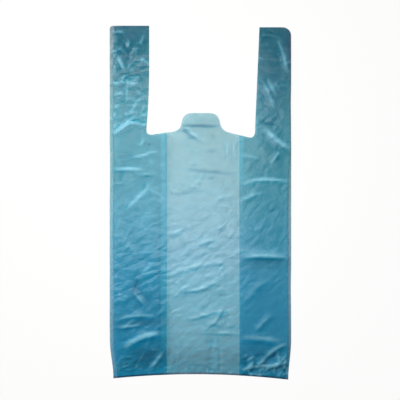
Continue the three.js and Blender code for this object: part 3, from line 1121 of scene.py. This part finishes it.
# %% Surface of the film
heights_of_crinkle = []
for size, bend in ((coarse_crinkle, coarse_bend), (fine_crinkle, fine_bend)):
    made = add_node(nodes, "ShaderNodeGroup", node_tree=crinkle)
    nodes.links.new(place, made.inputs["Place"])
    made.inputs["Size"].default_value = size
    made.inputs["Bend"].default_value = bend
    heights_of_crinkle.append(made.outputs["Height"])
grain = calculate(nodes, "MULTIPLY", heights_of_crinkle[1], fine_share * coarse_crinkle / fine_crinkle)
grain = calculate(nodes, "ADD", heights_of_crinkle[0], grain)
amount = calculate(nodes, "MULTIPLY", reading("crumpled"), calculate(nodes, "ADD", clouds, 0.5))
grain = calculate(nodes, "MULTIPLY", grain, amount)
bump = add_node(
    nodes, "ShaderNodeBump", {"Height": grain, "Strength": 1.0, "Distance": crinkle_slope / coarse_crinkle}
)
smears = add_node(
    nodes, "ShaderNodeTexNoise", {"Vector": place, "Scale": 60.0, "Detail": 1.0}, noise_dimensions="2D"
).outputs["Fac"]
rough = calculate(nodes, "MULTIPLY", smears, smear_share)
rough = calculate(nodes, "ADD", rough, film_roughness - smear_share / 2)
thicker = calculate(nodes, "MULTIPLY", reading("folded"), fold_alpha)
thicker = calculate(nodes, "ADD", thicker, calculate(nodes, "MULTIPLY", lone, lone_density))
surface = add_node(
    nodes,
    "ShaderNodeBsdfPrincipled",
    {
        "Base Color": colour,
        "Roughness": rough,
        "IOR": film_gloss_index,
        "Alpha": calculate(nodes, "ADD", thicker, face_alpha),
        "Normal": bump.outputs["Normal"],
    },
)
add_node(nodes, "ShaderNodeOutputMaterial", {"Surface": surface.outputs[0]})
cut_mesh.materials.clear()
cut_mesh.materials.append(film_material)
print("film material with", len(nodes.nodes), "nodes")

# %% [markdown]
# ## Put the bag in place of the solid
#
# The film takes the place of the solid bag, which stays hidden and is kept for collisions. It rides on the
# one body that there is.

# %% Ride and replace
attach(bag, "root")
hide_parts("carrier_bag")

# %% [markdown]
# ## The table
#
# The bag lies on a plain, slightly warm white table. A diffuse floor under studio light is never quite
# white, so rays that come straight from the camera meet a mix of white light and the lit floor. The lit
# part keeps the bag's soft shadow. Rays in gloss see the same white, and the floor throws no extra light
# on the bag. Through the film the eye sees the lit floor alone, so that its shade darkens the blue.

# %% A white floor that keeps the shadow
floor_reach = 3.0
floor_white = (0.98, 0.965, 0.9, 1)
floor_glow = 0.93
floor_material = bpy.data.materials.new("white_table")
floor_material.use_nodes = True
table = floor_material.node_tree
table.nodes.clear()
seen = add_node(table, "ShaderNodeLightPath")
uncovered = calculate(table, "LESS_THAN", seen.outputs["Transparent Depth"], 0.5)
direct = calculate(table, "MULTIPLY", seen.outputs["Is Camera Ray"], uncovered)
direct = calculate(table, "MAXIMUM", direct, seen.outputs["Is Glossy Ray"])
direct = calculate(table, "MAXIMUM", direct, seen.outputs["Is Transmission Ray"])
lit = add_node(table, "ShaderNodeBsdfDiffuse", {"Color": floor_white})
glow = add_node(table, "ShaderNodeEmission", {"Color": (1, 1, 1, 1), "Strength": 1.0})
both = add_node(table, "ShaderNodeMixShader", {0: calculate(table, "MULTIPLY", direct, floor_glow)})
table.links.new(lit.outputs[0], both.inputs[1])
table.links.new(glow.outputs[0], both.inputs[2])
add_node(table, "ShaderNodeOutputMaterial", {"Surface": both.outputs[0]})
corners = np.array([(-1, -1, 0), (1, -1, 0), (1, 1, 0), (-1, 1, 0)]) * floor_reach
corners[:, 2] = -0.0002
floor = bpy.data.objects.new("table", mesh_from("table", corners, [np.array([[0, 1, 2, 3]])]))
floor.data.materials.append(floor_material)
bpy.context.scene.collection.objects.link(floor)

# %% [markdown]
# ## Light
#
# One wide lamp hangs close over the middle of the bag. Its reflection lies broad and soft over the middle
# and leaves the ends, which is why they look deeper and duller. Two small lamps stand far to the upper
# left, one at half height and one low, so that each crease gets a bright and a dark side. The sky is an
# even white to the eye, and gives the bag only a little light.

# %% Lamps and sky
def lamp(name, place, aim, size, power):
    """A square lamp that looks from its place at its aim."""
    light = bpy.data.lights.new(name, "AREA")
    light.size = size
    light.energy = power
    thing = bpy.data.objects.new(name, light)
    thing.location = place
    thing.rotation_mode = "QUATERNION"
    thing.rotation_quaternion = (Vector(aim) - Vector(place)).to_track_quat("-Z", "Y")
    thing.visible_camera = False
    bpy.context.scene.collection.objects.link(thing)
    return thing


lamp("over_lamp", (-0.05, 0.06, 0.34), (-0.05, 0.05, 0), 0.34, 1.3)
lamp("side_lamp", (-0.75, 0.75, 1.05), (0, 0, 0), 0.16, 4.0)
lamp("low_lamp", (-1.3, 1.05, 0.66), (0, 0, 0), 0.17, 22.0)

sky = bpy.data.worlds.new("even_sky")
sky.use_nodes = True
bpy.context.scene.world = sky
air = sky.node_tree
air.nodes.clear()
ray = add_node(air, "ShaderNodeLightPath")
ambient = 0.1
strength = calculate(air, "MULTIPLY", ray.outputs["Is Camera Ray"], 1 - ambient)
strength = calculate(air, "ADD", strength, ambient)
background = add_node(air, "ShaderNodeBackground", {"Color": (1, 1, 1, 1), "Strength": strength})
add_node(air, "ShaderNodeOutputWorld", {"Surface": background.outputs[0]})

# %% [markdown]
# ## The camera
#
# The camera looks straight down, with the top of the bag towards the top of the picture. A long lens from
# well above keeps the outline free of perspective. The frame is 617 mm wide at the table.

# %% Straight down on the bag
frame_width = 0.617
camera_data = bpy.data.cameras.new("camera")
camera_data.lens = 85
camera_data.sensor_width = 36
camera = bpy.data.objects.new("camera", camera_data)
camera.location = (-0.0006, 0.0041, frame_width * camera_data.lens / camera_data.sensor_width)
bpy.context.scene.collection.objects.link(camera)
bpy.context.scene.camera = camera
print("camera", round(camera.location.z, 3), "m above the table")

# %% [markdown]
# ## Colour and light paths
#
# The Standard view transform shows a colour as it is written. Seen from above there are up to eight film
# faces under one another, and from the side many more, so the rays may pass through many of them.

# %% View and light paths
scene = bpy.context.scene
scene.view_settings.view_transform = "Standard"
scene.cycles.transparent_max_bounces = 64
